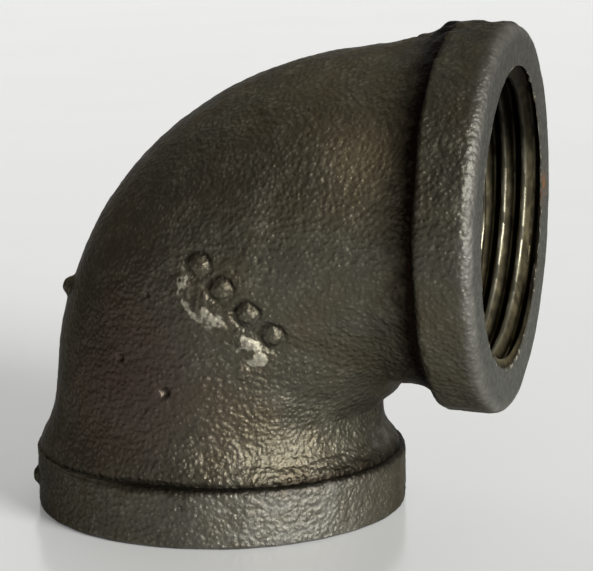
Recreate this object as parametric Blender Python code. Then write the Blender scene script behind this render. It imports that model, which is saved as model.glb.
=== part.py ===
"""A banded 90 degree pipe elbow of malleable iron, tapped at both ends, standing on one of them.

The elbow is one casting. It is modelled in three zones that meet at the grooves behind the two
bands: the bent body, and a thick band round each outlet. The pipe thread of each outlet runs
through its band and on into the body. Lengths are in metres and +Z is up. The middle of the
underside of the elbow's box is at the origin, the second outlet faces +X.
"""

import math

import bmesh
import bpy
from mathutils import Vector

MM = 0.001

# The two outlets are alike. Their axes cross at the elbow's centre.
CENTRE_TO_FACE = 26.6 * MM
BAND_RADIUS = 16.75 * MM
BAND_WIDTH = 5.1 * MM
BAND_REAR_ROUND = 0.5 * MM
BAND_FACE_ROUND = 0.6 * MM

# The body is a bent tube, a little fuller in the middle of the bend than at its ends.
BEND_RADIUS = 17.2 * MM
BODY_RADIUS = 14.65 * MM
OUTER_REACH = 14.95 * MM
INNER_REACH = 15.5 * MM
HALF_WIDTH = 14.9 * MM

# Behind each band the body flares out, by a share of the band's step. The flare is high and long
# on the bend's back, low on its cheeks and short in its crotch.
FLARE_BACK, FLARE_BACK_LENGTH = 0.9, 3.1 * MM
FLARE_CHEEK, FLARE_CHEEK_LENGTH = 0.35, 1.8 * MM
FLARE_CROTCH, FLARE_CROTCH_LENGTH = 0.5, 1.2 * MM
FLARE_STRETCH = 1.6  # how much longer a flare reaches round the bend than along a straight
FLARE_FADE = 1.5  # how squarely a flare falls off

# The waterway, and the 3/4 inch pipe thread: 14 turns to the inch, 55 degree flanks.
WATERWAY_RADIUS = 11.5 * MM
THREAD_PITCH = 25.4 / 14 * MM
THREAD_MAJOR_RADIUS = 26.441 / 2 * MM
THREAD_MINOR_RADIUS = 24.117 / 2 * MM
THREAD_FLANK_ANGLE = math.radians(55 / 2)
THREAD_LENGTH = 13.1 * MM
MOUTH_CHAMFER = 1.3 * MM

ZONE_GAP = 0.3 * MM  # between the body and each band
OVERSHOOT = 4.0 * MM  # how far a cutter runs past the faces

# How finely round shapes are divided.
SEGMENTS = 48
BEND_STATIONS = 20
STRAIGHT_STATIONS = 5
ROUND_STATIONS = 4

SHARP_EDGE = math.radians(35)  # steeper edges than this are not shaded smooth

# Each finish: base colour, roughness and metallic.
CAST_SKIN = ((0.045, 0.042, 0.038, 1.0), 0.5, 0.6)
WORN_SKIN = ((0.060, 0.058, 0.057, 1.0), 0.45, 0.65)

BODY_END = CENTRE_TO_FACE - BAND_WIDTH - ZONE_GAP
ELBOW_CENTRE = Vector(((BAND_RADIUS - CENTRE_TO_FACE) / 2, 0, CENTRE_TO_FACE))
ACROSS = Vector((0, 1, 0))


def material(name, colour, roughness, metallic):
    """A Principled BSDF with a plain colour."""
    made = bpy.data.materials.new(name)
    made.use_nodes = True
    shader = made.node_tree.nodes["Principled BSDF"]
    shader.inputs["Base Color"].default_value = colour
    shader.inputs["Roughness"].default_value = roughness
    shader.inputs["Metallic"].default_value = metallic
    return made


def add_object(name, bm, parent, rotation=(0, 0, 0)):
    """Turns a bmesh into a smooth-shaded object of the scene, under parent."""
    bmesh.ops.recalc_face_normals(bm, faces=bm.faces[:])
    mesh = bpy.data.meshes.new(name)
    bm.to_mesh(mesh)
    bm.free()
    mesh.shade_smooth()
    mesh.set_sharp_from_angle(angle=SHARP_EDGE)
    made = bpy.data.objects.new(name, mesh)
    bpy.context.scene.collection.objects.link(made)
    made.parent = parent
    made.rotation_euler = rotation
    return made


def solid_from_rings(rings):
    """A closed bmesh through rings of points, with a flat cap at each end."""
    bm = bmesh.new()
    loops = [[bm.verts.new(point) for point in ring] for ring in rings]
    for near, far in zip(loops, loops[1:]):
        for i in range(len(near)):
            j = (i + 1) % len(near)
            bm.faces.new((near[i], near[j], far[j], far[i]))
    bm.faces.new(loops[0])
    bm.faces.new(loops[-1])
    return bm


def turned_solid(profile):
    """A solid turned about +Z from (height, radius) points."""
    turns = [math.tau * i / SEGMENTS for i in range(SEGMENTS)]
    return solid_from_rings(
        [[(radius * math.cos(t), radius * math.sin(t), height) for t in turns] for height, radius in profile]
    )


def centre_line(end):
    """The stations from the bottom outlet to the side: (centre, outward direction, angle round the bend)."""
    stations = []
    for i in range(STRAIGHT_STATIONS):
        down = end + (BEND_RADIUS - end) * i / STRAIGHT_STATIONS
        stations.append((Vector((0, 0, -down)), Vector((-1, 0, 0)), 0.0))
    for i in range(BEND_STATIONS + 1):
        angle = math.pi / 2 * i / BEND_STATIONS
        outward = Vector((-math.cos(angle), 0, math.sin(angle)))
        stations.append((Vector((1, 0, -1)) * BEND_RADIUS + outward * BEND_RADIUS, outward, angle))
    for i in range(1, STRAIGHT_STATIONS + 1):
        along = BEND_RADIUS + (end - BEND_RADIUS) * i / STRAIGHT_STATIONS
        stations.append((Vector((along, 0, 0)), Vector((0, 0, 1)), math.pi / 2))
    return stations


def blend(start, end, share):
    return start + (end - start) * share


def flare(distance, outside):
    """How much the body stands out at a distance behind a band.

    outside runs from -1 in the bend's crotch, through 0 on its cheeks, to 1 on its back.
    """
    height, length = FLARE_BACK, FLARE_BACK_LENGTH
    if outside < 0:
        height, length = FLARE_CROTCH, FLARE_CROTCH_LENGTH
    height = blend(FLARE_CHEEK, height, abs(outside)) * (BAND_RADIUS - BODY_RADIUS)
    length = blend(FLARE_CHEEK_LENGTH, length, abs(outside))
    return height * math.exp(-((distance / length) ** FLARE_FADE))


def body_ring(centre, outward, angle):
    """One cross-section of the body's outside."""
    straight = BODY_END - BEND_RADIUS
    from_bottom = BODY_END + centre.z if angle == 0 else straight + FLARE_STRETCH * BEND_RADIUS * angle
    from_side = BODY_END - centre.x
    if angle < math.pi / 2:
        from_side = straight + FLARE_STRETCH * BEND_RADIUS * (math.pi / 2 - angle)
    fullness = math.sin(2 * angle)
    ring = []
    for i in range(SEGMENTS):
        turn = math.tau * i / SEGMENTS
        outside = math.cos(turn)
        reach = OUTER_REACH if outside > 0 else INNER_REACH
        stand_out = flare(from_bottom, outside) + flare(from_side, outside)
        along = blend(BODY_RADIUS, reach, fullness) + stand_out
        sideways = blend(BODY_RADIUS, HALF_WIDTH, fullness) + stand_out
        ring.append(centre + outward * along * outside + ACROSS * sideways * math.sin(turn))
    return ring


def waterway_cutter(parent):
    """The open way through the bend, as a round bar that runs past both faces."""
    rings = []
    for centre, outward, _ in centre_line(CENTRE_TO_FACE + OVERSHOOT):
        turns = [math.tau * i / SEGMENTS for i in range(SEGMENTS)]
        rings.append(
            [centre + (outward * math.cos(t) + ACROSS * math.sin(t)) * WATERWAY_RADIUS for t in turns]
        )
    return as_cutter(add_object("waterway_cutter", solid_from_rings(rings), parent))


def tap_cutter(name, parent, rotation):
    """A right-hand tap along +Z. Each turn of its profile is crest, flank, root and flank."""
    flank = (THREAD_MAJOR_RADIUS - THREAD_MINOR_RADIUS) * math.tan(THREAD_FLANK_ANGLE)
    flat = THREAD_PITCH / 2 - flank
    profile = [
        (0.0, THREAD_MINOR_RADIUS),
        (flat, THREAD_MINOR_RADIUS),
        (flat + flank, THREAD_MAJOR_RADIUS),
        (2 * flat + flank, THREAD_MAJOR_RADIUS),
    ]
    start = CENTRE_TO_FACE - THREAD_LENGTH
    turns = math.ceil((THREAD_LENGTH + OVERSHOOT) / THREAD_PITCH)
    bm = bmesh.new()
    columns = []
    for j in range(SEGMENTS):
        share = j / SEGMENTS
        column = []
        for i in range(len(profile) * turns + 1):
            rise, radius = profile[i % len(profile)]
            height = start + THREAD_PITCH * (i // len(profile) + share) + rise
            angle = math.tau * share
            column.append(bm.verts.new((radius * math.cos(angle), radius * math.sin(angle), height)))
        columns.append(column)
    # After a whole turn the thread has climbed one pitch, so the first column meets the last one there.
    last = columns[0][len(profile):]
    for near, far in zip(columns, columns[1:] + [last]):
        for i in range(len(last) - 1):
            bm.faces.new((near[i], far[i], far[i + 1], near[i + 1]))
    for near, far in zip(columns[:-1], columns[1:]):
        for i in range(len(last) - 1, len(near) - 1):
            bm.faces.new((near[i], far[i], far[i + 1], near[i + 1]))
    bmesh.ops.recalc_face_normals(bm, faces=bm.faces[:])
    close_with_cones(bm, start - THREAD_PITCH, start + THREAD_PITCH * (turns + 2))
    return as_cutter(add_object(name, bm, parent, rotation))


def mouth_cutter(name, parent, rotation):
    """The 45 degree countersink at an outlet's mouth, as a cone that widens along +Z."""
    cone = [
        (CENTRE_TO_FACE + rise, THREAD_MAJOR_RADIUS + rise) for rise in (-MOUTH_CHAMFER, OVERSHOOT)
    ]
    return as_cutter(add_object(name, turned_solid(cone), parent, rotation))


def close_with_cones(bm, low, high):
    """Closes the two open ends of a tube round the Z axis with fans to points at low and high."""
    tips = (bm.verts.new((0, 0, low)), bm.verts.new((0, 0, high)))
    middle = (low + high) / 2
    for edge in [e for e in bm.edges if e.is_boundary]:
        tip = tips[0] if edge.verts[0].co.z < middle else tips[1]
        bm.faces.new((*edge.verts, tip))


def as_cutter(cutter):
    cutter.hide_render = True
    cutter.display_type = "WIRE"
    return cutter


def cut(target, *cutters):
    for cutter in cutters:
        made = target.modifiers.new(cutter.name, "BOOLEAN")
        made.operation = "DIFFERENCE"
        made.solver = "EXACT"
        made.object = cutter


def elbow_body(parent, waterway, taps):
    """The bent body between the two bands."""
    rings = [body_ring(*station) for station in centre_line(BODY_END)]
    made = add_object("elbow_body", solid_from_rings(rings), parent)
    made.data.materials.append(material("cast_skin", *CAST_SKIN))
    cut(made, waterway, *taps)


def band(name, parent, rotation, cutters):
    """The thick ring round an outlet, with its rounded edges. Its face looks along +Z."""
    rear = CENTRE_TO_FACE - BAND_WIDTH
    quarter = [math.pi / 2 * i / ROUND_STATIONS for i in range(ROUND_STATIONS + 1)]
    profile = [
        (rear + BAND_REAR_ROUND * (1 - math.sin(a)), BAND_RADIUS - BAND_REAR_ROUND * (1 - math.cos(a)))
        for a in reversed(quarter)
    ]
    profile += [
        (
            CENTRE_TO_FACE - BAND_FACE_ROUND * (1 - math.sin(a)),
            BAND_RADIUS - BAND_FACE_ROUND * (1 - math.cos(a)),
        )
        for a in quarter
    ]
    made = add_object(name, turned_solid(profile), parent, rotation)
    made.data.materials.append(material(name + "_skin", *WORN_SKIN))
    cut(made, *cutters)


def main():
    for old in list(bpy.data.objects):
        bpy.data.objects.remove(old, do_unlink=True)
    axes = bpy.data.objects.new("elbow_axes", None)
    axes.location = ELBOW_CENTRE
    bpy.context.scene.collection.objects.link(axes)

    towards_side = (0, math.pi / 2, 0)
    towards_bottom = (math.pi, 0, 0)
    waterway = waterway_cutter(axes)
    side_tap = tap_cutter("side_tap", axes, towards_side)
    bottom_tap = tap_cutter("bottom_tap", axes, towards_bottom)

    elbow_body(axes, waterway, (side_tap, bottom_tap))
    side_mouth = mouth_cutter("side_mouth", axes, towards_side)
    bottom_mouth = mouth_cutter("bottom_mouth", axes, towards_bottom)
    band("side_band", axes, towards_side, (side_tap, side_mouth))
    band("bottom_band", axes, towards_bottom, (bottom_tap, bottom_mouth))


main()
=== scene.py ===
"""The looks of the banded pipe elbow: a black malleable iron casting that stands on one outlet.

The three zones of the casting (bent body, side band, bottom band) are built again at a fine
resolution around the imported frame, with the cast skin's relief, the cut threads and the ground
faces. Shapes are worked out in millimetres about the point where the two outlets' axes cross,
and put into the row frame in closed_mesh. Angles round the bend run from 0 at the bottom outlet to
90 at the side one. Turns round the tube run from 0 on the bend's back, with 270 on the near cheek.
"""

import math

import bpy
import numpy as np
from mathutils import Matrix, Vector

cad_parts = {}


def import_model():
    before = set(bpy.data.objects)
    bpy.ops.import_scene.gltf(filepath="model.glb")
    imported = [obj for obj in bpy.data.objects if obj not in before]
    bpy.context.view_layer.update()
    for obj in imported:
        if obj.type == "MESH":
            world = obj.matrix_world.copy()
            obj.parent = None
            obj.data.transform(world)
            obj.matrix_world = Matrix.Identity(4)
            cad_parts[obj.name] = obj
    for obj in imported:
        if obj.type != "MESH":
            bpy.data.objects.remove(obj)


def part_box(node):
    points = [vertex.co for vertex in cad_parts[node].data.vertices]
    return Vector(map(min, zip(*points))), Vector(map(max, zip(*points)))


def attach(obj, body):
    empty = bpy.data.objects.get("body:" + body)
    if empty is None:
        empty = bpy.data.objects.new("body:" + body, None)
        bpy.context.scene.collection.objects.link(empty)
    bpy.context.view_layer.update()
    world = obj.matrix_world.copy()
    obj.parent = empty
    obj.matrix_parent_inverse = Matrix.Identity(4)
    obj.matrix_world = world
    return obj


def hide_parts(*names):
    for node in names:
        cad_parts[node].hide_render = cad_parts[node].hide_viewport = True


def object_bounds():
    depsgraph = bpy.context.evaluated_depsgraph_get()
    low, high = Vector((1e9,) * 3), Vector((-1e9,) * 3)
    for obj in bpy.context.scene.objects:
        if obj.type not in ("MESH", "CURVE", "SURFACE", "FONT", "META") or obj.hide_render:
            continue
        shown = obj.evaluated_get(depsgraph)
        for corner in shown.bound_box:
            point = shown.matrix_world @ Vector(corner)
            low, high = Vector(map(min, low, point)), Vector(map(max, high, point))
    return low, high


MM = 0.001

# The body: a bent tube, as in the part's design, in mm. Reach and width are at the bend's middle.
BEND_RADIUS = 17.2
BODY_RADIUS = 14.65
OUTER_FULLNESS = 0.45
INNER_REACH = 15.5
HALF_WIDTH = 14.9
FLARE_STRETCH = 1.6
CREVICE_DEPTH, CREVICE_WIDTH = 0.25, 0.35

# How the body flares out behind each band, on the bend's back, on its cheeks and in its crotch:
# its height, as a share of the band's step, and its length in mm.
SIDE_FLARE = ((0.97, 3.4), (0.35, 1.8), (0.5, 1.1))
BOTTOM_FLARE = ((0.9, 3.1), (0.35, 1.8), (0.85, 1.3))
TUCK = 0.12  # how far the body's ends reach under the bands
BAND_SETBACK = 0.05  # the room kept inside the part's box for the bands' relief

# The bands' roundings, in mm: the rear edge, the front edge where it is roundest and where it is
# sharpest.
SIDE_ROUNDS = (0.9, 1.15, 0.45)
BOTTOM_ROUNDS = (0.5, 0.35, 0.25)
REAR_ROUND_BACK = 0.1  # the share of the rear rounding that is left on the bend's back
ROUNDEST_TURN = 290.0  # where the front edges are rounded most, in degrees

# A band's finish: how strong the painted highlight on its outside is, how worn its front edge is and how
# strong its painted shade on the bend's back is, from 0 to 1, and up to which turn, in degrees, its groove
# gets painted shade.
SIDE_FINISH = (0.0, 0.85, 0.14, 400.0)
BOTTOM_FINISH = (0.8, 0.3, 0.13, 300.0)
GROOVE_FADE = 0.45
HIGHLIGHT_TURN, HIGHLIGHT_SPREAD = 230.0, 0.55  # where the painted highlight on the outside lies, where the window light falls, in degrees, and its spread

# The flattened stretch of the side band's front edge: where round the turn it lies, in degrees,
# how far it is from the axis and how deep it goes, in mm.
CHIP_TURN, CHIP_REACH, CHIP_DEPTH, CHIP_FADE = 156.0, 16.15, 1.8, 0.8

# The 3/4 inch pipe thread and the waterway, in mm.
THREAD_PITCH = 25.4 / 14
THREAD_MAJOR = 26.441 / 2
THREAD_MINOR = 24.117 / 2
THREAD_FLANK = (THREAD_MAJOR - THREAD_MINOR) * math.tan(math.radians(55 / 2))
THREAD_FLAT = THREAD_PITCH / 2 - THREAD_FLANK
THREAD_LENGTH = 13.1
THREAD_ROUNDING = 0.5  # the share of the thread's flanks that is rounded off
MOUTH_INSET, MOUTH_SLOPE = 0.2, 2.0
WATERWAY_RADIUS = 11.5

# The top of each outlet's thread gets painted shade, up to this far round from the bend's back, in radians,
# down to this share of its lit look.
SHADED_TOP_END, SHADED_TOP_FADE, SHADED_TOP_LEVEL = 1.0, 0.55, 0.1
DARK_FLANK = 1.2  # how wide the black stretch of painted shadow on the flank that faces inwards is, in flanks
DARK_FADE, BRIGHT_FADE = 0.2, 0.1  # how softly that stretch starts and ends, in mm

# How finely the pieces are divided.
TURNS = 432
BEND_STATIONS = 210
STRAIGHT_STEP = 0.25
THREAD_STEP = 0.12
FACE_STEP = 0.2

# The camera, in degrees and mm.
AZIMUTH, ELEVATION, ROLL = 16.9, 11.54, -0.34
DISTANCE = 200.0
AIM = (7.14, 0.0, -6.88)
LENS = 137.1
SENSOR = 36.0

# The light. Azimuth 0 is in front of the elbow and 90 on its right, in degrees.
# Each light: azimuth, elevation, how wide it is seen, strength and colour.
WINDOW = (60.0, 17.5, 28.0, 4.45, (1.0, 0.985, 0.955))
CEILING = (10.0, 40.0, 40.0, 0.2, (1.0, 0.99, 0.94))
TABLE_GLOW = 0.115  # the light that the rest of a bright room leaves in the table's shadows
ROOM = (0.125, 0.112, 0.088, 1.0)
ROOM_LEFT = (0.085, 0.06, 0.052, 1.0)
BACKDROP = (0.88, 0.88, 0.865, 1.0)

SKIN, THREAD, BORE = range(3)


# ---------------------------------------------------------------- noise


def hashed(cells, seed):
    """A number from 0 to 1 for each whole-numbered cell."""
    c = cells.astype(np.int64).astype(np.uint64)
    h = c[..., 0] * np.uint64(0x9E3779B97F4A7C15)
    h ^= c[..., 1] * np.uint64(0xC2B2AE3D27D4EB4F)
    h ^= c[..., 2] * np.uint64(0x165667B19E3779F9)
    h ^= np.uint64(seed * 0x27D4EB2F165667C5 & 0xFFFFFFFFFFFFFFFF)
    h ^= h >> np.uint64(29)
    h *= np.uint64(0xBF58476D1CE4E5B9)
    h ^= h >> np.uint64(32)
    return (h & np.uint64(0xFFFFFF)).astype(float) / 0x1000000


def smooth(x):
    """0 below 0, 1 above 1 and an even S-shaped rise between them."""
    x = np.clip(x, 0.0, 1.0)
    return x * x * (3 - 2 * x)


def value_noise(points, size, seed):
    """Smooth noise from -1 to 1 whose bumps are about size across."""
    scaled = points / size
    cell = np.floor(scaled)
    share = smooth(scaled - cell)
    total = 0.0
    for corner in np.ndindex(2, 2, 2):
        weight = np.prod(np.where(np.array(corner), share, 1 - share), axis=-1)
        total = total + weight * hashed(cell + corner, seed)
    return 2 * total - 1


def nearest_spot(points, size, seed):
    """(distance in mm to the nearest of some scattered spots about size apart, its random number)."""
    scaled = points / size
    cell = np.floor(scaled)
    best = np.full(points.shape[:-1], 9.0)
    lot = np.zeros(points.shape[:-1])
    for near in np.ndindex(3, 3, 3):
        at = cell + np.array(near) - 1
        spot = at + np.stack([hashed(at, seed + k) for k in range(3)], axis=-1)
        away = np.linalg.norm(scaled - spot, axis=-1)
        closer = away < best
        best = np.where(closer, away, best)
        lot = np.where(closer, hashed(at, seed + 3), lot)
    return best * size, lot


# ---------------------------------------------------------------- the frame's sizes


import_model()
CAD_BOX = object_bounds()
side_low, side_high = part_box("side_band")
bottom_low, bottom_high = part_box("bottom_band")
CENTRE = Vector(((bottom_low.x + bottom_high.x) / 2, 0, (side_low.z + side_high.z) / 2))
TO_FACE = (side_high.x - CENTRE.x) / MM
BAND_RADIUS = (side_high.z - side_low.z) / 2 / MM
BAND_WIDTH = (side_high.x - side_low.x) / MM
BAND_REAR = TO_FACE - BAND_WIDTH
THREAD_START = TO_FACE - THREAD_LENGTH

ACROSS = np.array([0.0, 1.0, 0.0])
TURN = 2 * math.pi * np.arange(TURNS) / TURNS


class Outlet:
    """One outlet: the way out of its face, the direction of the bend's back, and the thread's angle."""

    def __init__(self, out, back, thread_turn):
        self.out = np.array(out, float)
        self.back = np.array(back, float)
        self.thread_turn = thread_turn

    def ring(self, height, radius):
        """Points at a height along the axis (from the centre) and a radius, one per turn."""
        around = self.back * np.cos(TURN)[:, None] + ACROSS * np.sin(TURN)[:, None]
        height, radius = (np.broadcast_to(value, TURNS)[:, None] for value in (height, radius))
        return self.out * height + around * radius


SIDE = Outlet((1, 0, 0), (0, 0, 1), math.pi - TURN)
BOTTOM = Outlet((0, 0, -1), (-1, 0, 0), math.pi + TURN)


# ---------------------------------------------------------------- shapes


def blend(start, end, share):
    """The value that lies a share of the way from start to end."""
    return start + (end - start) * share


def flare(distance, outside, sizes):
    """How much the body stands out, at a distance behind a band, round one ring."""
    (back_height, back_length), (cheek_height, cheek_length), (crotch_height, crotch_length) = sizes
    back = outside >= 0
    height = blend(cheek_height, np.where(back, back_height, crotch_height), abs(outside))
    length = blend(cheek_length, np.where(back, back_length, crotch_length), abs(outside))
    crevice = CREVICE_DEPTH * smooth(1 - outside) * np.exp(-((distance / CREVICE_WIDTH) ** 2))
    return height * (BAND_RADIUS - BODY_RADIUS) * np.exp(-((distance / length) ** 1.5)) - crevice


def body_radii(angle, outside):
    """The bare body's radius in the bend's plane and across it, at an angle round the bend."""
    fullness = math.sin(2 * angle)
    outer = BODY_RADIUS + OUTER_FULLNESS * fullness * math.cos(angle)
    inner = blend(BODY_RADIUS, INNER_REACH, fullness)
    return np.where(outside > 0, outer, inner), blend(BODY_RADIUS, HALF_WIDTH, fullness)


def skin_ring(centre, outward, angle, from_bottom, from_side):
    """One cross-section of the body's outside, smooth, before its relief."""
    outside = np.cos(TURN)
    stand_out = flare(from_bottom, outside, BOTTOM_FLARE) + flare(from_side, outside, SIDE_FLARE)
    along, sideways = body_radii(angle, outside)
    along, sideways = along + stand_out, sideways + stand_out
    return centre + outward * (along * outside)[:, None] + ACROSS * (sideways * np.sin(TURN))[:, None]


def body_skin():
    """(the rings of the body's outside, how far each is from the bottom band, and from the side band)."""
    straight = BAND_REAR - BEND_RADIUS
    steps = round(straight / STRAIGHT_STEP)
    far = straight + FLARE_STRETCH * BEND_RADIUS * math.pi / 2
    stations = []
    for i in range(steps):
        along = straight * i / steps
        stations.append((BOTTOM.out * (BAND_REAR - along), BOTTOM.back, 0.0, along, far + straight - along))
    pivot = np.array([BEND_RADIUS, 0, -BEND_RADIUS])
    for i in range(BEND_STATIONS + 1):
        angle = math.pi / 2 * i / BEND_STATIONS
        outward = np.array([-math.cos(angle), 0, math.sin(angle)])
        round_bend = FLARE_STRETCH * BEND_RADIUS * angle
        stations.append(
            (pivot + outward * BEND_RADIUS, outward, angle, straight + round_bend, far - round_bend)
        )
    for i in range(1, steps + 1):
        left = straight * (1 - i / steps)
        stations.append((SIDE.out * (BAND_REAR - left), SIDE.back, math.pi / 2, far + straight - left, left))
    rings = np.array([skin_ring(*station) for station in stations])
    from_bottom, from_side = np.array([station[3:] for station in stations]).T
    return rings, from_bottom[:, None], from_side[:, None]


def thread_place(outlet, height):
    """How far past a crest's start, along the axis, the thread is at a height, round the turn."""
    return ((height - THREAD_START) / THREAD_PITCH - outlet.thread_turn / (2 * math.pi)) % 1.0 * THREAD_PITCH


def thread_lit(outlet, height):
    """How lit the thread is painted, 1 to 0: painted shadow on the flank that faces inwards, painted shade on
    its top part.
    """
    at = thread_place(outlet, height)
    before = smooth((THREAD_PITCH - DARK_FLANK * THREAD_FLANK - at) / DARK_FADE)
    after = smooth((at - THREAD_PITCH + BRIGHT_FADE) / BRIGHT_FADE)
    from_top = math.pi - abs(TURN - math.pi)
    return (before + after) * blend(SHADED_TOP_LEVEL, 1.0, smooth((from_top - SHADED_TOP_END) / SHADED_TOP_FADE))


def thread_radius(outlet, height):
    """The radius of the cut thread at a height, round the turn."""
    at = thread_place(outlet, height)
    up = (at - THREAD_FLAT) / THREAD_FLANK
    down = (THREAD_PITCH - at) / THREAD_FLANK
    share = np.clip(np.minimum(up, down), 0, 1)
    return blend(THREAD_MINOR, THREAD_MAJOR, blend(share, smooth(share), THREAD_ROUNDING))


def thread_rings(outlet, heights):
    return [outlet.ring(h, thread_radius(outlet, h)) for h in heights]


def off_axis(points, outlet):
    """The distance of points from an outlet's axis."""
    return np.linalg.norm(points - outlet.out * (points @ outlet.out)[..., None], axis=-1)


def crest_share(points, outlet):
    """How near points of a thread are to its crest, from 0 in the root to 1 on the crest."""
    return np.clip((THREAD_MAJOR - off_axis(np.array(points), outlet)) / (THREAD_MAJOR - THREAD_MINOR), 0, 1)


def steps_between(start, end, step):
    """Evenly spaced values from start to end, both included."""
    return np.linspace(start, end, max(2, round(abs(end - start) / step) + 1))


def unit_normals(rings):
    """The normals of a closed grid of rings, out of or into the solid by the grid's own order."""
    along = np.roll(rings, -1, axis=0) - np.roll(rings, 1, axis=0)
    around = np.roll(rings, -1, axis=1) - np.roll(rings, 1, axis=1)
    normal = np.cross(around, along)
    return normal / np.maximum(np.linalg.norm(normal, axis=-1, keepdims=True), 1e-12)


def signed_volume(rings):
    """The volume inside a closed grid of rings, below 0 if its faces point inwards."""
    a = rings
    b = np.roll(rings, -1, axis=1)
    c = np.roll(b, -1, axis=0)
    d = np.roll(rings, -1, axis=0)
    return (np.einsum("ijk,ijk->", a, np.cross(b, c)) + np.einsum("ijk,ijk->", a, np.cross(c, d))) / 6


# ---------------------------------------------------------------- relief of the cast skin


def on_skin(angle, turn):
    """The point of the smooth skin at an angle round the bend and a turn round the tube, in degrees."""
    angle, turn = math.radians(angle), math.radians(turn)
    outward = np.array([-math.cos(angle), 0, math.sin(angle)])
    along, sideways = body_radii(angle, math.cos(turn))
    centre = np.array([BEND_RADIUS, 0, -BEND_RADIUS]) + outward * BEND_RADIUS
    return centre + outward * along * math.cos(turn) + ACROSS * sideways * math.sin(turn)


def on_band(outlet, height, turn):
    turn = math.radians(turn)
    return outlet.out * height + (outlet.back * math.cos(turn) + ACROSS * math.sin(turn)) * BAND_RADIUS


# Blobs of iron that stand on the skin and small blow holes in it: where, radius, height in mm.
BLOBS = (
    (on_skin(19, 342), 0.8, 0.7),
    (on_band(BOTTOM, 24.1, 336), 0.75, 0.5),
    (on_skin(70, 322), 0.5, 0.18),
    (on_skin(28, 250), 0.6, 0.15),
)
HOLES = (
    (on_skin(12, 271.5), 0.42, -0.45),
    (on_band(BOTTOM, 22.9, 264), 0.22, -0.3),
    (on_skin(32, 290), 0.3, -0.2),
    (on_skin(16, 290.5), 0.32, -0.4),
)

# The cast skin's relief. Each noise: height in mm, size of its bumps in mm, seed.
BROAD_SWELL, SMALL_SWELL, FINE_GRAIN = (0.085, 5.0, 11), (0.055, 1.9, 12), (0.014, 0.6, 31)
PEBBLE_SIZE, PEBBLE_HEIGHT, PEBBLE_LEVEL, PEBBLE_SEED = 0.85, 0.07, 0.55, 21
# Scattered pits and grit: how far apart such spots are in mm, and their seed. A spot whose random
# number is over PIT_LOT is a pit, and one under GRIT_LOT is a grain.
SPOT_SIZE, SPOT_SEED, PIT_LOT, GRIT_LOT = 3.2, 41, 0.72, 0.2
PIT_DEPTH, PIT_EDGE, PIT_RADIUS = -0.16, 1.25, 0.32
GRIT_HEIGHT, GRIT_EDGE, GRIT_RADIUS = 0.1, 1.3, 0.26

# A rough stretch of skin on top, over the groove behind the side band.
SCAB_PLACE, SCAB_RADIUS, SCAB_HEIGHT = on_band(SIDE, BAND_REAR - 0.5, 355), 6.5, 0.3
SCAB_GRAIN, SCAB_SEED, SCAB_LEVEL = 1.1, 91, 0.2

# A rusty spot on the side band's far rim, a painted highlight behind the band and a painted reflection low on
# the left.
RUST_PLACE, RUST_RADIUS = SIDE.out * TO_FACE + SIDE.back * 0.6 + ACROSS * 13.7, 1.1
NECK_HIGHLIGHT = (on_skin(90, 298), 3.4, 0.85)
LEFT_REFLECTION = (on_skin(12, 287), 7.5, 0.8)

# The raised mark on the near cheek: a row of pips over a worn bar, in mm along and across it.
MARK_ANGLE, MARK_TURN = 44.0, 266.0
PIP_PLACES = (-4.3, -1.5, 1.5, 4.3)
PIP_ROW, PIP_RADIUS, PIP_HEIGHT, PIP_MOAT = 0.75, 0.72, 0.26, 0.2
BAR_ROW, BAR_HALF_LENGTH, BAR_HALF_WIDTH, BAR_HEIGHT = -1.6, 4.6, 0.5, 0.14
BAR_WAVE, BAR_WAVE_LENGTH, BAR_WAVE_START = 0.3, 9.0, 3.4
MOAT_PLACE, MOAT_WIDTH = 1.5, 0.33  # the dip round a pip, in pip radii from its middle
# How dark the painted shadow beside each pip is.
PIP_SHADOW_DARKNESS = 0.75
MARK_ROUGH, MARK_LUMPS = (0.9, 71), (1.7, 72)  # each noise: size in mm, seed


def mark_axes(points):
    """How far along and across the mark points lie, and whether they are on its cheek."""
    slant = math.radians(MARK_ANGLE)
    inward = np.array([math.cos(slant), 0, -math.sin(slant)])
    sideways = np.array([math.sin(slant), 0, math.cos(slant)])
    from_mark = points - on_skin(MARK_ANGLE, MARK_TURN)
    return from_mark @ inward, from_mark @ sideways, points[..., 1] < 0


def mark_relief(points):
    """(height of the mark in mm, how worn it is, and its painted shadow on one side of its pips, from 0 to
    1).
    """
    along, across, here = mark_axes(points)
    rough = value_noise(points, *MARK_ROUGH)
    height = np.zeros(along.shape)
    dark = np.zeros(along.shape)
    for place in PIP_PLACES:
        away = np.hypot(along - place, across - PIP_ROW) / PIP_RADIUS + 0.12 * rough
        height += PIP_HEIGHT * smooth(1.35 - away)
        moat = np.exp(-(((away - MOAT_PLACE) / MOAT_WIDTH) ** 2))
        height -= PIP_MOAT * moat
        # Painted shadow in the moat, on the side of each pip turned from the light.
        one_side = smooth(0.5 + 0.9 * (across - PIP_ROW - along + place))
        dark = np.maximum(dark, PIP_SHADOW_DARKNESS * moat * one_side)
    past_end = np.maximum(abs(along) - BAR_HALF_LENGTH, 0)
    row = BAR_ROW + BAR_WAVE * np.cos(2 * math.pi * (along - BAR_WAVE_START) / BAR_WAVE_LENGTH)
    off_bar = np.hypot(past_end, across - row) / BAR_HALF_WIDTH
    lumpy = value_noise(points, *MARK_LUMPS)
    bar = smooth(1.6 - off_bar + 0.5 * rough + 0.3 * lumpy)
    height += BAR_HEIGHT * bar * smooth(0.7 + lumpy)
    worn = smooth(2.2 - off_bar + 0.6 * rough) * smooth(0.55 + 1.1 * lumpy + 0.6 * rough)
    return np.where(here, height, 0), np.where(here, worn, 0), np.where(here, dark, 0)


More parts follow.
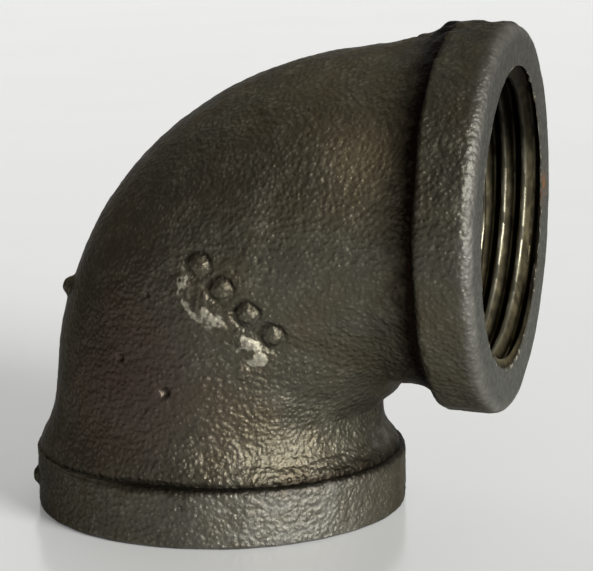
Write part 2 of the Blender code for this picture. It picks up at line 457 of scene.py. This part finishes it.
def cast_relief(points):
    """(how far the cast skin stands off its smooth shape in mm, how worn it is, and the painted shadow beside
    the mark's pips, 0 to 1).
    """
    layers = (BROAD_SWELL, SMALL_SWELL, FINE_GRAIN)
    broad, small, fine = (height * value_noise(points, size, seed) for height, size, seed in layers)
    swell = broad + small
    pebble, _ = nearest_spot(points, PEBBLE_SIZE, PEBBLE_SEED)
    grain = PEBBLE_HEIGHT * (PEBBLE_LEVEL - pebble / PEBBLE_SIZE) + fine
    away, lot = nearest_spot(points, SPOT_SIZE, SPOT_SEED)
    pits = np.where(lot > PIT_LOT, PIT_DEPTH * smooth(PIT_EDGE - away / PIT_RADIUS), 0)
    grit = np.where(lot < GRIT_LOT, GRIT_HEIGHT * smooth(GRIT_EDGE - away / GRIT_RADIUS), 0)
    relief = swell + grain + pits + grit
    for centre, radius, height in BLOBS + HOLES:
        away = np.linalg.norm(points - centre, axis=-1) / radius
        relief = relief + height * np.exp(-(away**4))
    scab = np.exp(-((np.linalg.norm(points - SCAB_PLACE, axis=-1) / SCAB_RADIUS) ** 2))
    relief = relief + SCAB_HEIGHT * scab * (value_noise(points, SCAB_GRAIN, SCAB_SEED) - SCAB_LEVEL)
    mark, worn, dark = mark_relief(points)
    return relief + mark, worn, dark


# Thin strings of flash over the bottom band's groove, on its inner right side: where round the turn
# and how far, in degrees, how high up they reach, how far apart they are and how high they stand, in mm.
FLASH_TURN, FLASH_SPREAD = 210.0, 32.0
FLASH_TOP, FLASH_FADE, FLASH_SPACING, FLASH_HEIGHT = 3.0, 1.5, 0.75, 0.11

# The painted highlight on the edge of the foot's flare, in degrees round the turn and mm above the bottom
# band.
FOOT_EDGE_TURN, FOOT_EDGE_SPREAD = 178, 16
FOOT_EDGE_UP, FOOT_EDGE_WIDTH = 1.5, 0.8

# Painted shade in the grooves: how strong it is and how far it reaches behind the side band, in mm, where it
# is wide at the foot and up to which turn the rest of it goes there, in degrees.
SIDE_SHADE, SIDE_SHADE_REACH = 1.15, 1.9
FOOT_SHADE_TURN, FOOT_SHADE_SPREAD = 195, 45
FOOT_SHADE_END, FOOT_SHADE_FADE = 300, 25
FOOT_SHADE, FOOT_SHADE_REACH = (0.5, 0.9), (0.3, 0.85)  # painted shade at the foot: short of its end turn, and on the right


def turn_round_foot(points):
    """Where points lie round the bottom outlet's axis, in degrees."""
    return np.degrees(np.arctan2(points[..., 1], -points[..., 0])) % 360


def flash_relief(points):
    """How far the strings of flash stand off the skin, in mm."""
    turn = turn_round_foot(points)
    above = points[..., 2] + BAND_REAR
    beside = np.exp(-(((turn - FLASH_TURN) / FLASH_SPREAD) ** 4))
    band = smooth(above / 0.3) * smooth((FLASH_TOP - above) / FLASH_FADE)
    waver = 2.2 * value_noise(points, 1.6, 51)
    waves = np.sin(2 * math.pi * (above / FLASH_SPACING + 0.012 * turn) + waver)
    return FLASH_HEIGHT * beside * band * np.maximum(waves, -0.4)


def foot_edge_highlight(points, from_bottom):
    """The painted highlight on the edge of the foot's flare, from 0 to 1: on its right, over the groove,
    mottled.
    """
    beside = np.exp(-(((turn_round_foot(points) - FOOT_EDGE_TURN) / FOOT_EDGE_SPREAD) ** 2))
    mottle = smooth(0.6 + 0.9 * value_noise(points, 0.8, 56))
    return beside * np.exp(-(((from_bottom - FOOT_EDGE_UP) / FOOT_EDGE_WIDTH) ** 2)) * mottle


def painted_shade(points, from_bottom, from_side):
    """The painted shade in the skin's grooves: most, at about 1, behind the side band and at the foot's
    right.
    """
    turn = turn_round_foot(points)
    right = np.exp(-(((turn - FOOT_SHADE_TURN) / FOOT_SHADE_SPREAD) ** 4))
    ragged = 1 + 0.35 * value_noise(points, 1.2, 55)
    # Painted shadow that the side band casts on the body behind it.
    behind_side = SIDE_SHADE * np.exp(-((from_side / (SIDE_SHADE_REACH * ragged)) ** 2))
    # Painted shade in the groove at the foot, widest on its right.
    seen = smooth((FOOT_SHADE_END - turn) / FOOT_SHADE_FADE)
    strength = blend(FOOT_SHADE[0] * seen, FOOT_SHADE[1], right)
    reach = blend(FOOT_SHADE_REACH[0], FOOT_SHADE_REACH[1], right) * ragged
    return np.maximum(behind_side, strength * np.exp(-((from_bottom / reach) ** 2)))


# ---------------------------------------------------------------- meshes


def closed_mesh(name, rings, zones, attributes, materials):
    """A closed object through a ring of rings. zones gives the material from each ring to the next."""
    count, around = rings.shape[:2]
    flipped = signed_volume(rings) < 0
    if flipped:
        rings = rings[:, ::-1]
    index = np.arange(count * around).reshape(count, around)
    right = np.roll(index, -1, axis=1)
    up = np.roll(index, -1, axis=0)
    quads = np.stack([index, right, np.roll(right, -1, axis=0), up], axis=-1).reshape(-1, 4)
    mesh = bpy.data.meshes.new(name)
    mesh.vertices.add(count * around)
    mesh.vertices.foreach_set("co", ((rings + np.array(CENTRE) / MM) * MM).astype(np.float32).ravel())
    mesh.loops.add(quads.size)
    mesh.loops.foreach_set("vertex_index", quads.astype(np.int32).ravel())
    mesh.polygons.add(len(quads))
    mesh.polygons.foreach_set("loop_start", np.arange(0, quads.size, 4, dtype=np.int32))
    for made in materials:
        mesh.materials.append(made)
    mesh.polygons.foreach_set("material_index", np.repeat(zones, around).astype(np.int32))
    mesh.update(calc_edges=True)
    for label, values in attributes.items():
        values = np.broadcast_to(values, (count, around))
        layer = mesh.attributes.new(label, "FLOAT", "POINT")
        layer.data.foreach_set("value", (values[:, ::-1] if flipped else values).astype(np.float32).ravel())
    mesh.shade_smooth()
    mesh.set_sharp_from_angle(angle=math.radians(50))
    made = bpy.data.objects.new(name, mesh)
    bpy.context.scene.collection.objects.link(made)
    return made


def body_piece(materials):
    """The bent body: its cast outside, the inner turns of both threads and the waterway."""
    skin, from_bottom, from_side = body_skin()
    threads = steps_between(BAND_REAR, THREAD_START, THREAD_STEP)
    side_thread = thread_rings(SIDE, threads)
    bottom_thread = thread_rings(BOTTOM, threads[::-1])
    pivot = np.array([THREAD_START, 0, -THREAD_START])
    bend = []
    for angle in steps_between(math.pi / 2, 0, math.pi / 2 / 30):
        outward = np.array([-math.cos(angle), 0, math.sin(angle)])
        around = outward * np.cos(TURN)[:, None] + ACROSS * np.sin(TURN)[:, None]
        bend.append(pivot + outward * THREAD_START + around * WATERWAY_RADIUS)
    rings = np.concatenate([skin, side_thread, bend, bottom_thread])
    zones = np.concatenate(
        [
            np.full(len(skin) - 1, SKIN),
            np.full(len(side_thread) + 1, THREAD),
            np.full(len(bend) - 1, BORE),
            np.full(len(bottom_thread) + 1, THREAD),
        ]
    )
    normal = unit_normals(rings)
    if signed_volume(rings) < 0:
        normal = -normal
    ends = len(skin)
    # At the two cut planes the grid turns a corner, so the skin's own slope is used there.
    normal[0], normal[ends - 1] = normal[1], normal[ends - 2]
    relief = np.zeros(rings.shape[:2])
    worn = np.zeros(rings.shape[:2])
    dark = np.zeros(rings.shape[:2])
    lit = np.zeros(rings.shape[:2])
    side_end = ends + len(side_thread)
    worn[ends:side_end] = crest_share(side_thread, SIDE)
    # Painted shadow on the threads' inward flanks and painted shade on their tops.
    lit[ends:side_end] = [thread_lit(SIDE, height) for height in threads]
    worn[-len(bottom_thread) :] = crest_share(bottom_thread, BOTTOM)
    lit[-len(bottom_thread) :] = [thread_lit(BOTTOM, height) for height in threads[::-1]]
    relief[:ends], worn[:ends], pip_shadows = cast_relief(skin)
    relief[:ends] += flash_relief(skin)
    # Painted shade in the grooves, and painted shadow beside the mark's pips.
    dark[:ends] = np.maximum(painted_shade(skin, from_bottom, from_side), pip_shadows)
    edge = np.zeros(rings.shape[:2])
    # Painted highlight on the edge of the foot's flare.
    edge[:ends] = foot_edge_highlight(skin, from_bottom)
    spots = {"painted_shade": dark, "worn": worn, "edge": edge, "lit": lit}
    # A painted highlight on the side neck and a painted reflection low on the left.
    for label, (centre, radius, strength) in (("brassy_tone_and_sheen", NECK_HIGHLIGHT), ("painted_reflection", LEFT_REFLECTION)):
        away = np.linalg.norm(rings - centre, axis=-1) / radius
        spots[label] = strength * np.exp(-(away**2))
    relief[ends:] = 0.02 * value_noise(rings[ends:], 0.5, 61)
    rings = rings + normal * relief[..., None]
    rings[0] += BOTTOM.out * TUCK
    rings[ends - 1] += SIDE.out * TUCK
    return closed_mesh("elbow_body_cast", rings, zones, spots, materials)


def band_piece(name, outlet, rounds, finish, materials):
    """A band: its rear plane, rounded outside, ground face and the first turns of its thread."""
    rings, zones, cast = [], [], []

    def add(height, radius, zone, cast_share):
        rings.append(outlet.ring(height, radius))
        zones.append(zone)
        cast.append(cast_share)

    # The rear edge is sharper on the bend's back, where the body's flare comes up to it.
    rear_round, face_round, face_sharp = rounds
    rear_round = rear_round * blend(1.0, REAR_ROUND_BACK, smooth(np.cos(TURN)))
    roundest = smooth(0.5 + 0.8 * np.cos(TURN - math.radians(ROUNDEST_TURN)))
    face_round = blend(face_sharp, face_round, roundest)
    shoulder = BAND_RADIUS - BAND_SETBACK
    rear_thread = thread_radius(outlet, BAND_REAR)
    for share in steps_between(0, 1, 0.125)[:-1]:
        add(BAND_REAR, blend(rear_thread, shoulder - rear_round, share), SKIN, share)
    quarter = steps_between(0, math.pi / 2, math.pi / 2 / 8)
    for a in quarter:
        add(BAND_REAR + rear_round * (1 - math.cos(a)), shoulder - rear_round * (1 - math.sin(a)), SKIN, 1.0)
    for share in steps_between(0, 1, FACE_STEP / BAND_WIDTH)[1:-1]:
        add(blend(BAND_REAR + rear_round, TO_FACE - face_round, share), shoulder, SKIN, 1.0)
    for a in quarter:
        height = TO_FACE - face_round * (1 - math.sin(a))
        add(height, shoulder - face_round * (1 - math.cos(a)), SKIN, 1 - 0.7 * a / (math.pi / 2))
    mouth = THREAD_MAJOR - MOUTH_INSET
    for share in steps_between(0, 1, FACE_STEP / (shoulder - mouth))[1:]:
        add(TO_FACE, blend(shoulder - face_round, mouth, share), SKIN, 0.15)
    for height in steps_between(TO_FACE, BAND_REAR, THREAD_STEP)[1:-1]:
        radius = np.maximum(thread_radius(outlet, height), mouth - MOUTH_SLOPE * (TO_FACE - height))
        add(height, radius, THREAD, -1.0)
    rings, zones, cast = np.array(rings), np.array(zones), np.array(cast)[:, None]
    if outlet is SIDE:
        rings = chipped(rings)
    normal = unit_normals(rings)
    if signed_volume(rings) < 0:
        normal = -normal
    relief, _, _ = cast_relief(rings)
    depth = TO_FACE - rings @ outlet.out
    radius = off_axis(rings, outlet)
    lip = np.exp(-((depth / 0.35) ** 2)) * np.exp(-((np.maximum(radius - mouth, 0) / 0.15) ** 2))
    notches = np.maximum(value_noise(rings, 0.75, 62), -0.3) * lip
    ragged = 0.02 * value_noise(rings, 0.5, 61) + 0.16 * notches
    skin = np.clip(cast, 0, 1)
    relief = np.where(cast < 0, ragged, skin * (relief - 0.02) - (1 - skin) * 0.03)
    looks = band_finish(rings, depth, shoulder - radius, face_round, *finish)
    attributes = {label: np.where(cast >= 0, values, 0) for label, values in looks.items()}
    attributes["worn"] = np.where(cast < 0, crest_share(rings, outlet), 0.75 * lip * smooth(2 * notches))
    # Painted shadow on the thread's inward flanks and top, and just inside the mouth.
    lit = np.array([thread_lit(outlet, height) for height in TO_FACE - depth[:, 0]])
    attributes["lit"] = np.where(cast < 0, lit * smooth(depth / 0.5), 0)
    if outlet is SIDE:
        away = np.linalg.norm(rings - RUST_PLACE, axis=-1) / RUST_RADIUS
        attributes["rust"] = np.exp(-(away**2)) * smooth(0.5 + 1.3 * value_noise(rings, 0.4, 84))
    rings = inside_cad_box(rings + normal * relief[..., None])
    return closed_mesh(name, rings, zones, attributes, materials)


def band_finish(points, depth, inset, face_round, painted_highlight, edge_wear, back_shade, groove_end):
    """How worn and how ground a band's outside is, with its painted highlight and painted shade, as
    attributes for cast_skin.
    """
    # Painted highlight on the outside where the window light falls, put in with the worn front edge.
    painted_highlight = painted_highlight * np.exp(-(((TURN - math.radians(HIGHLIGHT_TURN)) / HIGHLIGHT_SPREAD) ** 2))
    # Painted shade, darker towards the bend's back.
    back_shade = back_shade * (1 + np.cos(TURN))
    corner = np.hypot(depth - 0.25 * face_round, inset - 0.25 * face_round)
    mottle = 0.75 + 0.35 * value_noise(points, 1.1, 81) + 0.2 * value_noise(points, 0.5, 82)
    edge = np.maximum(np.exp(-((corner / (0.75 * face_round)) ** 2)) * edge_wear, painted_highlight) * mottle
    ground = smooth((face_round - depth) / face_round + 0.15 * value_noise(points, 0.6, 83))
    # Painted shade in the groove at the band's rear.
    at_rear = np.exp(-(((BAND_WIDTH - depth) / (0.45 * (1 + 0.5 * value_noise(points, 1.1, 85)))) ** 2))
    at_rear = 0.8 * at_rear * smooth((math.radians(groove_end) - TURN) / GROOVE_FADE)
    return {"edge": edge, "ground": ground, "painted_shade": np.maximum(at_rear, back_shade)}


def chipped(rings):
    """The side band with a flat on the lower far stretch of its front edge."""
    turn = np.arctan2(rings @ ACROSS, rings @ SIDE.back)
    radius = off_axis(rings, SIDE)
    limit = CHIP_REACH / np.maximum(np.cos(turn - math.radians(CHIP_TURN)), 0.5)
    depth = TO_FACE - rings @ SIDE.out
    share = smooth((CHIP_DEPTH + CHIP_FADE - depth) / CHIP_FADE)
    shorter = np.where(radius > limit, blend(radius, limit, share), radius)
    along_axis = SIDE.out * (rings @ SIDE.out)[..., None]
    return along_axis + (rings - along_axis) * (shorter / radius)[..., None]


def inside_cad_box(rings):
    """Points in mm about the centre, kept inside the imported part's own box."""
    low = (np.array(CAD_BOX[0]) - np.array(CENTRE)) / MM
    high = (np.array(CAD_BOX[1]) - np.array(CENTRE)) / MM
    return np.clip(rings, low, high)


# ---------------------------------------------------------------- materials


class Nodes:
    """A small builder for a material's nodes."""

    def __init__(self, name):
        self.material = bpy.data.materials.new(name)
        self.material.use_nodes = True
        self.tree = self.material.node_tree
        self.shader = self.tree.nodes["Principled BSDF"]
        coordinates = self.tree.nodes.new("ShaderNodeTexCoord")
        self.place = coordinates.outputs["Object"]

    def link(self, source, target):
        self.tree.links.new(source, target)

    def feed(self, target, value):
        """Sets a socket to a number or colour, or links it to another node's output."""
        if isinstance(value, bpy.types.NodeSocket):
            self.link(value, target)
        else:
            target.default_value = value

    def noise(self, size, detail=3.0, roughness=0.55, distortion=0.0):
        """Fractal noise from 0 to 1 with features of a size in mm."""
        node = self.tree.nodes.new("ShaderNodeTexNoise")
        node.inputs["Scale"].default_value = 1 / (size * MM)
        node.inputs["Detail"].default_value = detail
        node.inputs["Roughness"].default_value = roughness
        node.inputs["Distortion"].default_value = distortion
        self.link(self.place, node.inputs["Vector"])
        return node.outputs["Fac"]

    def cells(self, size, feature="SMOOTH_F1"):
        """Distance to the nearest of some cells of a size in mm."""
        node = self.tree.nodes.new("ShaderNodeTexVoronoi")
        node.feature = feature
        node.inputs["Scale"].default_value = 1 / (size * MM)
        self.link(self.place, node.inputs["Vector"])
        return node.outputs["Distance"]

    def attribute(self, name):
        node = self.tree.nodes.new("ShaderNodeAttribute")
        node.attribute_name = name
        return node.outputs["Fac"]

    def math(self, operation, a, b=0.0, clamp=False):
        node = self.tree.nodes.new("ShaderNodeMath")
        node.operation = operation
        node.use_clamp = clamp
        self.feed(node.inputs[0], a)
        self.feed(node.inputs[1], b)
        return node.outputs[0]

    def ramp(self, value, low, high, to_low=0.0, to_high=1.0):
        """value from low to high, smoothly moved to the range to_low to to_high."""
        node = self.tree.nodes.new("ShaderNodeMapRange")
        node.interpolation_type = "SMOOTHSTEP"
        self.feed(node.inputs["Value"], value)
        for name, number in (("From Min", low), ("From Max", high), ("To Min", to_low), ("To Max", to_high)):
            node.inputs[name].default_value = number
        return node.outputs["Result"]

    def mix(self, share, a, b):
        """A mix of two colours."""
        node = self.tree.nodes.new("ShaderNodeMix")
        node.data_type = "RGBA"
        self.feed(node.inputs["Factor"], share)
        self.feed(node.inputs[6], a)
        self.feed(node.inputs[7], b)
        return node.outputs[2]

    def bump(self, height, depth, below=None):
        """A bump of a depth in mm from a height of 0 to 1, on top of another bump."""
        node = self.tree.nodes.new("ShaderNodeBump")
        node.inputs["Distance"].default_value = depth * MM
        self.link(height, node.inputs["Height"])
        if below is not None:
            self.link(below, node.inputs["Normal"])
        return node.outputs["Normal"]


def colour(red, green, blue):
    return (red, green, blue, 1.0)


def cast_skin():
    """Black cast skin, with paler worn edges, ground faces, painted shade, painted highlights and a painted
    reflection by its attributes.
    """
    n = Nodes("cast_iron_skin")
    broad = n.noise(7.0, 2.0)
    patch = n.noise(2.4, 4.0, 0.6)
    grain = n.noise(0.24, 3.0, 0.6)
    cell = n.cells(0.4)
    mottle = n.noise(0.55, 3.0, 0.6)
    base = n.mix(n.ramp(broad, 0.35, 0.65), colour(0.091, 0.087, 0.066), colour(0.101, 0.088, 0.061))
    base = n.mix(n.ramp(patch, 0.45, 0.75, 0.0, 0.6), base, colour(0.135, 0.125, 0.094))
    rubbed = n.math("MULTIPLY", n.ramp(cell, 0.45, 0.1), n.ramp(patch, 0.35, 0.65), clamp=True)
    base = n.mix(n.math("MULTIPLY", rubbed, 0.6), base, colour(0.22, 0.205, 0.165))
    ground = n.attribute("ground")
    milled = n.mix(n.ramp(mottle, 0.35, 0.65), colour(0.085, 0.087, 0.078), colour(0.12, 0.12, 0.108))
    base = n.mix(ground, base, milled)
    # Paler on worn edges, and on painted highlights: the bottom band's outside and the foot's flare edge.
    edge = n.attribute("edge")
    base = n.mix(edge, base, n.mix(mottle, colour(0.15, 0.147, 0.133), colour(0.24, 0.236, 0.213)))
    # A painted highlight on the side neck.
    base = n.mix(n.attribute("brassy_tone_and_sheen"), base, colour(0.21, 0.18, 0.115))
    # A painted reflection: darker and reddish, low on the left.
    base = n.mix(n.attribute("painted_reflection"), base, colour(0.068, 0.047, 0.041))
    worn = n.attribute("worn")
    bare = n.ramp(n.math("ADD", worn, n.ramp(mottle, 0.3, 0.7, -0.3, 0.3)), 0.35, 0.8)
    metal = n.mix(n.ramp(mottle, 0.3, 0.7), colour(0.25, 0.235, 0.19), colour(0.4, 0.38, 0.3))
    base = n.mix(bare, base, metal)
    base = n.mix(n.attribute("rust"), base, colour(0.30, 0.13, 0.045))
    # Painted shade: near black in the grooves, beside the mark's pips and on the bands' backs.
    shade_share = n.math("MULTIPLY", n.attribute("painted_shade"), n.ramp(mottle, 0.2, 0.8, 1.1, 0.8), clamp=True)
    base = n.mix(shade_share, base, colour(0.010, 0.006, 0.004))
    n.feed(n.shader.inputs["Base Color"], base)
    n.feed(n.shader.inputs["Metallic"], n.ramp(n.math("MAXIMUM", bare, ground), 0.0, 1.0, 0.8, 0.55))
    soft = n.math("MAXIMUM", n.math("MAXIMUM", bare, edge), ground)
    rough = n.math("ADD", n.ramp(patch, 0.3, 0.7, 0.36, 0.44), n.ramp(soft, 0.0, 1.0, 0.0, 0.14))
    n.feed(n.shader.inputs["Roughness"], rough)
    n.shader.inputs["Specular IOR Level"].default_value = 0.15
    n.shader.inputs["Specular Tint"].default_value = colour(0.22, 0.215, 0.2)
    lumps = n.bump(cell, -0.14)
    fine = n.bump(grain, 0.07, lumps)
    n.link(fine, n.shader.inputs["Normal"])
    return n.material


def cut_thread():
    """Brassy where the attribute lit is 1 and black, painted shadow, where it is 0, brightest where worn is
    1.
    """
    n = Nodes("cut_thread")
    patch = n.noise(1.3, 4.0, 0.6)
    fine = n.noise(0.2, 3.0, 0.6)
    brassy_tone_and_sheen = n.mix(n.ramp(patch, 0.4, 0.65), colour(0.15, 0.13, 0.08), colour(0.24, 0.205, 0.12))
    bright = n.mix(n.ramp(n.attribute("worn"), 0.75, 1.0), brassy_tone_and_sheen, colour(0.24, 0.225, 0.17))
    # Black where the thread is not lit: painted shadow.
    base = n.mix(n.attribute("lit"), colour(0.008, 0.007, 0.006), bright)
    n.feed(n.shader.inputs["Base Color"], base)
    n.shader.inputs["Metallic"].default_value = 0.85
    n.shader.inputs["Specular Tint"].default_value = colour(0.35, 0.33, 0.27)
    n.feed(n.shader.inputs["Roughness"], n.ramp(patch, 0.3, 0.7, 0.36, 0.5))
    n.link(n.bump(fine, 0.012, n.bump(patch, 0.03)), n.shader.inputs["Normal"])
    return n.material


def cored_bore():
    """The dark, rough inside of the waterway."""
    n = Nodes("cored_waterway")
    patch = n.noise(1.6, 4.0, 0.6)
    base = n.mix(n.ramp(patch, 0.4, 0.65), colour(0.015, 0.013, 0.011), colour(0.035, 0.025, 0.018))
    n.feed(n.shader.inputs["Base Color"], base)
    n.shader.inputs["Metallic"].default_value = 0.2
    n.feed(n.shader.inputs["Roughness"], n.ramp(patch, 0.3, 0.7, 0.6, 0.8))
    n.link(n.bump(n.noise(0.6, 3.0), 0.1), n.shader.inputs["Normal"])
    return n.material


def table_top():
    """A smooth white table with a faint glow."""
    n = Nodes("white_table")
    base = n.mix(n.ramp(n.noise(40.0, 3.0), 0.3, 0.7), colour(0.72, 0.738, 0.748), colour(0.74, 0.758, 0.768))
    n.feed(n.shader.inputs["Base Color"], base)
    n.shader.inputs["Emission Color"].default_value = colour(0.97, 0.99, 1.0)
    n.shader.inputs["Emission Strength"].default_value = TABLE_GLOW
    n.shader.inputs["Roughness"].default_value = 0.18
    n.shader.inputs["Specular IOR Level"].default_value = 0.3
    return n.material


# ---------------------------------------------------------------- floor, lights, camera


def floor():
    """The table, just under the elbow and wide enough to fill the view."""
    half = 4.0
    mesh = bpy.data.meshes.new("table")
    mesh.from_pydata(
        [(-half, -half, 0), (half, -half, 0), (half, half, 0), (-half, half, 0)], [], [(0, 1, 2, 3)]
    )
    mesh.materials.append(table_top())
    made = bpy.data.objects.new("table", mesh)
    made.location.z = -0.02 * MM
    bpy.context.scene.collection.objects.link(made)


def direction(azimuth, elevation):
    """The direction of something seen from the elbow. Azimuth 0 is in front, 90 on the right."""
    azimuth, elevation = math.radians(azimuth), math.radians(elevation)
    level = math.cos(elevation)
    return Vector((math.sin(azimuth) * level, -math.cos(azimuth) * level, math.sin(elevation)))


def far_light(name, azimuth, elevation, spread, strength, tint):
    """Light from far away, whose disc is seen as wide as spread, in degrees."""
    lamp = bpy.data.lights.new(name, "SUN")
    lamp.energy = strength
    lamp.angle = math.radians(spread)
    lamp.color = tint
    made = bpy.data.objects.new(name, lamp)
    made.rotation_euler = direction(azimuth, elevation).to_track_quat("Z", "Y").to_euler()
    bpy.context.scene.collection.objects.link(made)


def world():
    """A dim warm room, bright low down behind the elbow."""
    made = bpy.data.worlds.new("pale_room")
    made.use_nodes = True
    tree = made.node_tree
    background = tree.nodes["Background"]
    looked = tree.nodes.new("ShaderNodeTexCoord").outputs["Generated"]

    def towards(vector, low, high):
        """0 to 1 as the direction looked in comes nearer to vector."""
        dot = tree.nodes.new("ShaderNodeVectorMath")
        dot.operation = "DOT_PRODUCT"
        dot.inputs[1].default_value = vector
        tree.links.new(looked, dot.inputs[0])
        share = tree.nodes.new("ShaderNodeMapRange")
        share.interpolation_type = "SMOOTHSTEP"
        share.inputs["From Min"].default_value = low
        share.inputs["From Max"].default_value = high
        tree.links.new(dot.outputs["Value"], share.inputs["Value"])
        return share.outputs["Result"]

    def mix(share, under, over):
        node = tree.nodes.new("ShaderNodeMix")
        node.data_type = "RGBA"
        tree.links.new(share, node.inputs["Factor"])
        for socket, value in ((node.inputs[6], under), (node.inputs[7], over)):
            if isinstance(value, bpy.types.NodeSocket):
                tree.links.new(value, socket)
            else:
                socket.default_value = value
        return node.outputs[2]

    room = mix(towards(direction(-60, 0), 0.2, 0.9), ROOM, ROOM_LEFT)
    lit = mix(towards(direction(AZIMUTH + 180, 25), 0.5, 0.92), room, BACKDROP)
    tree.links.new(lit, background.inputs["Color"])
    bpy.context.scene.world = made


def camera():
    """The photo's viewpoint."""
    made = bpy.data.objects.new("camera", bpy.data.cameras.new("camera"))
    made.data.lens = LENS
    made.data.sensor_width = SENSOR
    made.data.clip_start = 1 * MM
    back = direction(AZIMUTH, ELEVATION)
    right = direction(AZIMUTH + 90, 0)
    up = back.cross(right)
    roll = math.radians(ROLL)
    right, up = right * math.cos(roll) + up * math.sin(roll), up * math.cos(roll) - right * math.sin(roll)
    place = CENTRE + Vector(AIM) * MM + back * DISTANCE * MM
    made.matrix_world = Matrix.Translation(place) @ Matrix((right, up, back)).transposed().to_4x4()
    bpy.context.scene.collection.objects.link(made)
    bpy.context.scene.camera = made


def build():
    """Makes the three pieces, puts each in its CAD node's place, and lights them."""
    finishes = [cast_skin(), cut_thread(), cored_bore()]
    pieces = (
        (body_piece(finishes), "elbow_body", "cast_skin"),
        (
            band_piece("side_band_cast", SIDE, SIDE_ROUNDS, SIDE_FINISH, finishes),
            "side_band",
            "side_band_skin",
        ),
        (
            band_piece("bottom_band_cast", BOTTOM, BOTTOM_ROUNDS, BOTTOM_FINISH, finishes),
            "bottom_band",
            "bottom_band_skin",
        ),
    )
    for piece, node, slot in pieces:
        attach(piece, "root")
        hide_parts(node)
    floor()
    world()
    far_light("window", *WINDOW)
    far_light("ceiling", *CEILING)
    camera()


build()
bpy.context.scene.view_settings.view_transform = "Standard"
